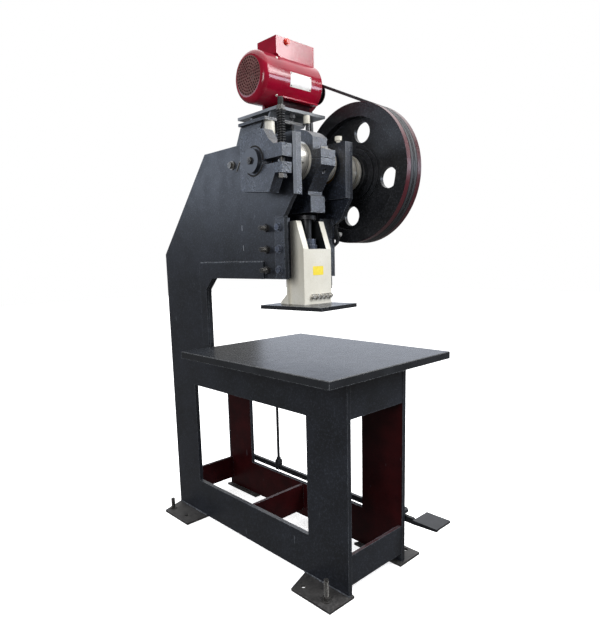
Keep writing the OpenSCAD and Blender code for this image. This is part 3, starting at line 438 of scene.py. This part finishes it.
finishes = {
    "frame_paint": enamel("charcoalEnamel", frameCoat),
    "head_paint": enamel("charcoalHammerEnamel", headCoat),
    "gib_paint": enamel("charcoalGibEnamel", gibCoat),
    "pedestal_paint": enamel("blackPedestalEnamel", pedestalCoat),
    "seam_paint": enamel("rubbedSeamEnamel", seamCoat),
    "table_paint": enamel("blackenedTableCoat", tableCoat),
    "cream_paint": enamel("creamEnamel", creamCoat),
    "slide_cream": enamel("creamSlideEnamel", slideCoat),
    "grey_paint": enamel("greyBracketEnamel", greyCoat),
    "motor_red": enamel("crimsonMotorEnamel", redCoat),
    "cowl_red": enamel("dustyCowlEnamel", cowlCoat),
    "shell_red": enamel("crimsonShellEnamel", shellCoat),
    "wheel_black": enamel("blackWheelEnamel", wheelCoat),
    "foot_steel": steel("wornMillSteel", footMetal),
    "bolt_steel": steel("dullBoltSteel", boltMetal),
    "stud_steel": steel("oiledStudSteel", studMetal),
    "zinc_steel": steel("bluishZincSteel", zincMetal),
    "screw_steel": steel("handledScrewSteel", screwMetal),
    "bright_steel": steel("turnedBrightSteel", brightMetal),
    "bush_bronze": steel("bearingBronze", bronzeMetal),
    "dark_steel": steel("oiledDarkSteel", darkMetal),
    "lever_steel": steel("oiledLeverSteel", leverMetal),
    "spring_steel": steel("blackSpringWire", springMetal),
    "lamination": steel("stackedLamination", stackMetal),
    "belt_rubber": moulded("fabricFacedRubber", beltRubber),
    "fan_plastic": moulded("blackMouldedFan", fanPlastic),
    "knob_orange": moulded("orangeMouldedKnob", knobPlastic),
    "lining": moulded("wovenLining", wovenLining),
    "label_yellow": moulded("blankYellowLabel", labelVinyl),
    "plate_white": moulded("blankLacqueredPlate", plateLacquer),
}
# A slot has the finish of its own name, apart from these slots and these solids
slotFinish = {"primer": "frame_paint", "blackened_steel": "table_paint"}
solidFinish = {
    "left_bearing_block": "head_paint", "right_bearing_block": "head_paint", "right_head_plate": "head_paint",
    "left_guide": "head_paint", "right_guide": "head_paint", "pitman_rod": "head_paint", "pitman_cap": "head_paint",
    "brake_body": "head_paint", "brake_drum": "head_paint", "brake_bolt": "stud_steel",
    "gib_plate": "gib_paint", "gib_bolts": "zinc_steel", "gib_studs": "stud_steel", "floor_bolts": "stud_steel",
    "slide": "slide_cream", "oil_cup": "cream_paint", "clamp_screws": "screw_steel", "lock_collar": "zinc_steel",
    "pitman_bush": "bright_steel", "trip_lever": "lever_steel",
    "motor_pedestal": "pedestal_paint", "motor_base_plate": "grey_paint", "motor_studs": "dark_steel",
    "motor_housing": "shell_red", "fan_cowl": "cowl_red",
}
for name, part in nodes.items():
    slotName = part.data.materials[0].name.split(".")[0]
    part.data.materials[0] = finishes[solidFinish.get(name, slotFinish.get(slotName, slotName))]
print("finishes:", len(finishes))


# Pieces that the solids leave plain
mergeGap = 0.01 * mm
fullTurn = 2 * math.pi


def meshObject(name, shape):
    data = bpy.data.meshes.new(name)
    shape.to_mesh(data)
    shape.free()
    made = bpy.data.objects.new(name, data)
    bpy.context.scene.collection.objects.link(made)
    return made


def finished(name, shape, finish, body, smooth=False):
    bmesh.ops.recalc_face_normals(shape, faces=shape.faces)
    for face in shape.faces:
        face.smooth = smooth
    made = meshObject(name, shape)
    made.data.materials.append(finishes[finish])
    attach(made, body)
    return made


def newVerts(shape, known):
    return [v for v in shape.verts if v not in known]


def vertsOf(geom):
    return [v for v in geom if isinstance(v, bmesh.types.BMVert)]


def sealEnds(shape, known):  # doubled points merged, open ends closed
    bmesh.ops.remove_doubles(shape, verts=newVerts(shape, known), dist=mergeGap)
    ends = {e for v in newVerts(shape, known) for e in v.link_edges if e.is_boundary}
    bmesh.ops.holes_fill(shape, edges=list(ends), sides=0)


def wind(shape, coil, place):  # wire wound round Z: one turn is spun, the others are copies of it
    known = set(shape.verts)
    tilt = Matrix.Rotation(math.pi / 2, 4, "X") @ Matrix.Rotation(-math.pi / 2, 4, "Z")
    start = Matrix.Translation((coil["radius"] * mm, 0.0, 0.0)) @ tilt
    wire = coil["wire"] * mm
    first = bmesh.ops.create_circle(shape, segments=coil["sides"], radius=wire, matrix=start)["verts"]
    edges = list({e for v in first for e in v.link_edges})
    pitch = coil["rise"] * mm / coil["turns"]
    bmesh.ops.spin(shape, geom=first + edges, cent=(0.0, 0.0, 0.0), axis=(0.0, 0.0, 1.0), steps=coil["steps"],
                   dvec=(0.0, 0.0, pitch / coil["steps"]), angle=fullTurn)
    verts = newVerts(shape, known)
    faces = {f for v in verts for f in v.link_faces}
    oneTurn = verts + list({e for f in faces for e in f.edges}) + list(faces)
    for turn in range(1, coil["turns"]):
        copy = bmesh.ops.duplicate(shape, geom=oneTurn)["geom"]
        bmesh.ops.translate(shape, verts=vertsOf(copy), vec=(0.0, 0.0, turn * pitch))
    sealEnds(shape, known)
    bmesh.ops.transform(shape, matrix=place, verts=newVerts(shape, known))


def turned(shape, profile, place, steps):  # radius and height pairs in mm, turned round Z
    known = set(shape.verts)
    points = [shape.verts.new((r * mm, 0.0, h * mm)) for r, h in profile]
    edges = [shape.edges.new(pair) for pair in zip(points, points[1:])]
    bmesh.ops.spin(shape, geom=points + edges, cent=(0.0, 0.0, 0.0), axis=(0.0, 0.0, 1.0), angle=fullTurn,
                   steps=steps, use_merge=True)
    bmesh.ops.remove_doubles(shape, verts=newVerts(shape, known), dist=mergeGap)
    bmesh.ops.transform(shape, matrix=place, verts=newVerts(shape, known))


def bead(shape, start, end, seam):  # weld bead with its ripples, a sheet rolled up between two points in mm
    known = set(shape.verts)
    start, end = Vector(start) * mm, Vector(end) * mm
    way = end - start
    turn = way.to_track_quat("Z", "Y")
    ripple = seam["ripple"] * mm
    steps = round(way.length / ripple * seam["perRipple"])
    bmesh.ops.create_grid(shape, x_segments=steps, y_segments=seam["sides"], size=0.5)
    for vert in newVerts(shape, known):
        along = (vert.co.x + 0.5) * way.length
        around = (vert.co.y + 0.5) * fullTurn
        reach = seam["radius"] * mm * (1.0 + seam["swell"] * math.sin(fullTurn * along / ripple))
        vert.co = start + turn @ Vector((reach * math.cos(around), reach * math.sin(around), along))
    sealEnds(shape, known)


def upright(x, y, z):
    return Matrix.Translation((x * mm, y * mm, z * mm))


def facing(x, y, z, way):  # Z turned to point along the given direction
    return upright(x, y, z) @ Vector(way).to_track_quat("Z", "Y").to_matrix().to_4x4()


def outward(x, axis, reach, degrees):  # Z pointing away from an axis along X, turned up from the front
    turn = math.radians(degrees)
    way = (0.0, -math.cos(turn), math.sin(turn))
    return facing(x, axis[0] + reach * way[1], axis[1] + reach * way[2], way)


# Brake spring: round wire with closed ends, where the solid has a coarse section
brakeCoil = {"radius": 11.1, "wire": 2.2, "sides": 10, "turns": 12, "steps": 24, "rise": 86.0,
             "at": (-213.0, -315.0, 1427.2)}
shape = bmesh.new()
wind(shape, brakeCoil, upright(*brakeCoil["at"]))
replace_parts(finished("brakeCoil", shape, "spring_steel", "frame", True), "brake_spring")

# Return spring of the pull rod
returnCoil = {"radius": 9.0, "wire": 1.1, "sides": 10, "turns": 6, "steps": 24, "rise": 40.8,
              "at": (164.0, 182.0, 662.0), "keep": 0.528}
shape = bmesh.new()
wind(shape, returnCoil, upright(*returnCoil["at"][:2], returnCoil["at"][2] + returnCoil["wire"]))
spring = finished("returnCoil", shape, "spring_steel", "frame", True)
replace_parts(spring, "return_spring")
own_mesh(spring)

# Rolled threads on the studs and bolts, pitch drawn a little coarse so that it still shows
thread = {"wire": 1.0, "sides": 3, "steps": 16, "pitch": 2.5}
threadRuns = [
    {"at": (-212.0, -468.0, 25.0), "radius": 7.3, "rise": 54.0, "way": (0, 0, 1)},
    {"at": (-212.0, 468.0, 14.0), "radius": 7.3, "rise": 37.0, "way": (0, 0, 1)},
    {"at": (-213.0, -315.0, 1531.0), "radius": 7.7, "rise": 21.0, "way": (0, 0, 1)},
]
for z in (1049.0, 1117.0, 1187.0):
    threadRuns.append({"at": (-162.0, -161.0, z), "radius": 6.8, "rise": 20.0, "way": (-1, 0, 0)})
shape = bmesh.new()
for run in threadRuns:
    turns = round(run["rise"] / thread["pitch"])
    wind(shape, {**thread, **run, "turns": turns}, facing(*run["at"], run["way"]))
finished("studThreads", shape, "stud_steel", "frame")

# Weld beads along the throat band, the feet and the table's underside
seams = {"x": -151.0, "radius": 2.6, "ripple": 4.0, "perRipple": 4, "sides": 8, "swell": 0.16}
welds = [
    ((244.0, 1077.5), (-143.0, 1077.5)),
    ((245.5, 764.0), (245.5, 1076.0)),
    ((-512.0, 10.0), (-304.0, 10.0)),
    ((300.0, 10.0), (496.0, 10.0)),
    ((-505.0, 730.0), (165.0, 730.0)),
]
shape = bmesh.new()
for start, end in welds:
    bead(shape, (seams["x"], *start), (seams["x"], *end), seams)
finished("weldBeads", shape, "seam_paint", "frame", True)

# Small dark nut in the centre of the crankshaft's end
endNut = {"x": -247.0, "sides": 6, "across": 11.5, "high": 7.0, "chamfer": 1.2, "stud": 5.0, "proud": 2.0,
          "sunk": 0.4}
studTop = endNut["high"] + endNut["proud"]
nutProfile = [
    (0.0, studTop), (endNut["stud"], studTop), (endNut["stud"], endNut["high"]),
    (endNut["across"] - endNut["chamfer"], endNut["high"]),
    (endNut["across"], endNut["high"] - endNut["chamfer"]),
    (endNut["across"], -endNut["sunk"]), (0.0, -endNut["sunk"]),
]
shape = bmesh.new()
turned(shape, nutProfile, facing(endNut["x"], *crankAxis, (-1, 0, 0)), endNut["sides"])
finished("endNut", shape, "stud_steel", "crankshaft")

# Turned flange on the clutch collar beside the wheel, and a thin dark ring where its groove is, as painted shade of
# the groove
ringSteps = 64
collarEdge = {"in": 0.2, "along": 0.4}
collarRings = {
    "collarFlange": {"x": 199.0, "wide": 10.0, "inner": 51.6, "outer": 63.0, "finish": "bright_steel"},
    "collarGroove": {"x": 184.0, "wide": 2.6, "inner": 59.6, "outer": 60.3, "finish": "dark_steel"},
}
for name, ring in collarRings.items():
    shoulder = ring["outer"] - collarEdge["in"]
    profile = [
        (ring["inner"], 0.0), (shoulder, 0.0), (ring["outer"], collarEdge["along"]),
        (ring["outer"], ring["wide"] - collarEdge["along"]), (shoulder, ring["wide"]),
        (ring["inner"], ring["wide"]), (ring["inner"], 0.0),
    ]
    shape = bmesh.new()
    turned(shape, profile, facing(ring["x"], *crankAxis, (1, 0, 0)), ringSteps)
    finished(name, shape, ring["finish"], "crankshaft")

# Dark ring and black disc on the eccentric, left of the pitman: painted shade where its groove and its oil hole are
eccentric = {"radius": 58.0, "throw": 18.0}
eccentricAxis = (crankAxis[0], crankAxis[1] + eccentric["throw"])
eccentricShadeRing = {"x": -51.5, "wide": 1.8, "high": 0.3, "edge": 0.3, "sunk": 0.4}
lineLow, lineHigh = eccentric["radius"] - eccentricShadeRing["sunk"], eccentric["radius"] + eccentricShadeRing["high"]
lineProfile = [
    (lineLow, 0.0), (lineHigh, eccentricShadeRing["edge"]), (lineHigh, eccentricShadeRing["wide"] - eccentricShadeRing["edge"]),
    (lineLow, eccentricShadeRing["wide"]), (lineLow, 0.0),
]
shape = bmesh.new()
turned(shape, lineProfile, facing(eccentricShadeRing["x"], *eccentricAxis, (1, 0, 0)), ringSteps)
finished("eccentricLine", shape, "dark_steel", "crankshaft")
oilHole = {"x": -75.0, "turn": -14.0, "profile": [(0.0, 0.1), (2.4, 0.1), (3.0, 0.5), (3.6, -0.4)], "steps": 16}
shape = bmesh.new()
holePlace = outward(oilHole["x"], eccentricAxis, eccentric["radius"], oilHole["turn"])
turned(shape, oilHole["profile"], holePlace, oilHole["steps"])
finished("oilHole", shape, "fan_plastic", "crankshaft")

# Motor nameplate: blank, curved to the shell, held by four rivets
nameplate = {"x": (62.0, 165.0), "radius": 88.3, "turn": (-21.0, 11.5), "thick": 0.7, "steps": 10}
rivets = {"inX": 5.0, "inTurn": 3.0, "out": 0.5, "profile": [(0.0, 1.6), (1.3, 1.4), (2.2, 0.8), (2.6, 0.0)],
          "steps": 12}
shape = bmesh.new()
lowTurn, highTurn = nameplate["turn"]
plateAxis = Vector((0.0, motorAxis[0] * mm, motorAxis[1] * mm))
plateLow = [nameplate["radius"] * mm * f(math.radians(lowTurn)) for f in (math.cos, math.sin)]
ends = [shape.verts.new(plateAxis + Vector((x * mm, -plateLow[0], plateLow[1]))) for x in nameplate["x"]]
bmesh.ops.spin(shape, geom=ends + [shape.edges.new(ends)], cent=plateAxis, axis=(-1.0, 0.0, 0.0),
               steps=nameplate["steps"], angle=math.radians(highTurn - lowTurn))
bmesh.ops.recalc_face_normals(shape, faces=shape.faces)
bmesh.ops.solidify(shape, geom=shape.faces[:], thickness=nameplate["thick"] * mm)
finished("motorNameplate", shape, "plate_white", "frame")
shape = bmesh.new()
for x in (nameplate["x"][0] + rivets["inX"], nameplate["x"][1] - rivets["inX"]):
    for turn in (lowTurn + rivets["inTurn"], highTurn - rivets["inTurn"]):
        rivetPlace = outward(x, motorAxis, nameplate["radius"] + rivets["out"], turn)
        turned(shape, rivets["profile"], rivetPlace, rivets["steps"])
finished("nameplateRivets", shape, "bolt_steel", "frame", True)

# Folded lip along the top of the motor's near foot, a flat bar with its edges rounded
footLip = {"middle": (115.5, -50.5, 1650.0), "size": (177.0, 23.0, 6.0), "fold": 1.6}
shape = bmesh.new()
bmesh.ops.create_grid(shape, x_segments=1, y_segments=1, size=0.5)
up = bmesh.ops.extrude_face_region(shape, geom=shape.faces[:])["geom"]
bmesh.ops.translate(shape, verts=vertsOf(up), vec=(0.0, 0.0, 1.0))
bmesh.ops.scale(shape, verts=shape.verts, vec=[v * mm for v in footLip["size"]])
bmesh.ops.translate(shape, verts=shape.verts, vec=[v * mm for v in footLip["middle"]])
bmesh.ops.bevel(shape, geom=shape.edges[:], offset=footLip["fold"] * mm, affect="EDGES", segments=3,
                profile=0.5, material=-1, offset_type="OFFSET")
finished("motorFootLip", shape, "motor_red", "frame")

# Bright pan-head screws of the cowl and the shell: place along the motor, turn about it
panHead = {"profile": [(0.0, 1.2), (1.4, 1.5), (1.5, 3.0), (3.6, 2.5), (4.6, 1.3), (4.8, -0.6)], "steps": 16,
           "shellRadius": 88.0,
           "places": [(17.0, -47.0), (17.0, 42.0), (17.0, 138.0), (17.0, 222.0), (192.0, -47.0)]}
shape = bmesh.new()
for x, turn in panHead["places"]:
    turned(shape, panHead["profile"], outward(x, motorAxis, panHead["shellRadius"], turn), panHead["steps"])
finished("cowlScrews", shape, "bright_steel", "frame", True)

# Blank yellow label on the slide's front
label = {"middle": (-9.0, -257.0, 1043.0), "half": (25.0, 15.0), "thick": 0.35, "corner": 2.5}
shape = bmesh.new()
bmesh.ops.create_grid(shape, x_segments=1, y_segments=1, size=1.0)
bmesh.ops.scale(shape, verts=shape.verts, vec=(label["half"][0] * mm, label["half"][1] * mm, 1.0))
bmesh.ops.bevel(shape, geom=shape.verts[:], offset=label["corner"] * mm, affect="VERTICES", segments=4,
                profile=0.5, material=-1, offset_type="OFFSET")
up = bmesh.ops.extrude_face_region(shape, geom=shape.faces[:])["geom"]
bmesh.ops.translate(shape, verts=vertsOf(up), vec=(0.0, 0.0, label["thick"] * mm))
labelPlace = upright(*label["middle"]) @ Matrix.Rotation(math.pi / 2, 4, "X")
bmesh.ops.transform(shape, matrix=labelPlace, verts=shape.verts)
finished("slideLabel", shape, "label_yellow", "slide")
print("extra pieces ready")

# Studio: pale floor and white surround; a high key in front, a low softbox right for the front faces,
# a small one for the streak on the motor, one behind for the table top, one behind left for the side plate,
# a weak fill front left, and a broad soft sky
studio = {
    "white": "#ffffff", "seenWhite": 1.0, "lightWhite": 0.17,
    "sky": {"strength": 3.0, "angle": 100.0, "tilt": (-10.0, 12.0, 0.0)},
    "lamps": {
        "key": {"place": (1.4, -2.5, 3.1), "aim": (0.0, -0.2, 1.2), "size": (1.6, 1.6), "watts": 98.0},
        "motor": {"place": (2.1, -2.05, 2.85), "aim": (0.12, -0.03, 1.83), "size": (0.45, 0.28), "watts": 3.4},
        "right": {"place": (2.3, -2.6, 1.85), "aim": (-0.1, -0.3, 1.35), "size": (1.0, 0.55), "watts": 22.0,
                  "tint": "#e3eeff"},
        "behind": {"place": (2.5, 1.7, 1.4), "aim": (0.0, -0.2, 0.76), "size": (1.9, 0.9), "watts": 5.5,
                   "tint": "#e4edff"},
        "left": {"place": (-2.2, 2.4, 2.0), "aim": (-0.15, 0.1, 1.4), "size": (2.0, 0.9), "watts": 16.5,
                 "tint": "#dce9ff"},
        "front": {"place": (-2.6, -1.3, 1.6), "aim": (-0.1, -0.2, 1.1), "size": (1.2, 1.2), "watts": 41.0},
    },
}
surround = bpy.data.worlds.new("whiteSurround")
bpy.context.scene.world = surround
surround.use_nodes = True
airTree = surround.node_tree
airTree.nodes.clear()
seen = addNode(airTree, "LightPath", out="Is Camera Ray")
airSpan = {"Value": seen, "To Min": studio["lightWhite"], "To Max": studio["seenWhite"]}
strength = addNode(airTree, "MapRange", airSpan, "Result")
air = addNode(airTree, "Background", {"Color": linear(studio["white"]), "Strength": strength}, "Background")
addNode(airTree, "OutputWorld", {"Surface": air})
for lampName, lamp in studio["lamps"].items():
    lampData = bpy.data.lights.new(lampName + "Light", "AREA")
    lampData.shape = "RECTANGLE"
    lampData.size, lampData.size_y = lamp["size"]
    lampData.energy = lamp["watts"]
    lampData.color = linear(lamp.get("tint", studio["white"]))[:3]
    lampObject = bpy.data.objects.new(lampName + "Light", lampData)
    bpy.context.scene.collection.objects.link(lampObject)
    aim = (Vector(lamp["aim"]) - Vector(lamp["place"])).to_track_quat("-Z", "Y")
    lampObject.matrix_world = Matrix.Translation(lamp["place"]) @ aim.to_matrix().to_4x4()
    lampObject.visible_camera = False
skyData = bpy.data.lights.new("skyLight", "SUN")
skyData.energy = studio["sky"]["strength"]
skyData.angle = math.radians(studio["sky"]["angle"])
skyObject = bpy.data.objects.new("skyLight", skyData)
skyObject.rotation_euler = [math.radians(a) for a in studio["sky"]["tilt"]]
bpy.context.scene.collection.objects.link(skyObject)

# Painted studio floor: near white, hardly clouded, matt, glowing a little so that it runs into the surround
floorCoat = {"half": 14.0, "drop": 0.5, "colour": "#ffffff", "deep": "#fafafa", "patchMm": 900.0,
             "span": (0.3, 0.7), "rough": 0.9, "glow": 0.7}
floorShape = bmesh.new()
bmesh.ops.create_grid(floorShape, x_segments=1, y_segments=1, size=floorCoat["half"])
bmesh.ops.translate(floorShape, verts=floorShape.verts, vec=(0.0, 0.0, cadLow.z - floorCoat["drop"] * mm))
floor = meshObject("studioFloor", floorShape)
floorFinish, floorTree, floorCoords, floorShader = newMaterial("paleStudioFloor")
floorCloud = patches(floorTree, floorCoords, floorCoat["patchMm"], floorCoat["span"])
connect(floorTree, floorShader, {
    "Base Color": layer(floorTree, linear(floorCoat["deep"]), floorCloud, floorCoat["colour"]),
    "Roughness": floorCoat["rough"],
    "Emission Color": linear(floorCoat["colour"]),
    "Emission Strength": floorCoat["glow"],
})
floor.data.materials.append(floorFinish)
floor.visible_diffuse = False  # the photograph's surround was darker than its white ground
floor.visible_glossy = False
print("studio ready")
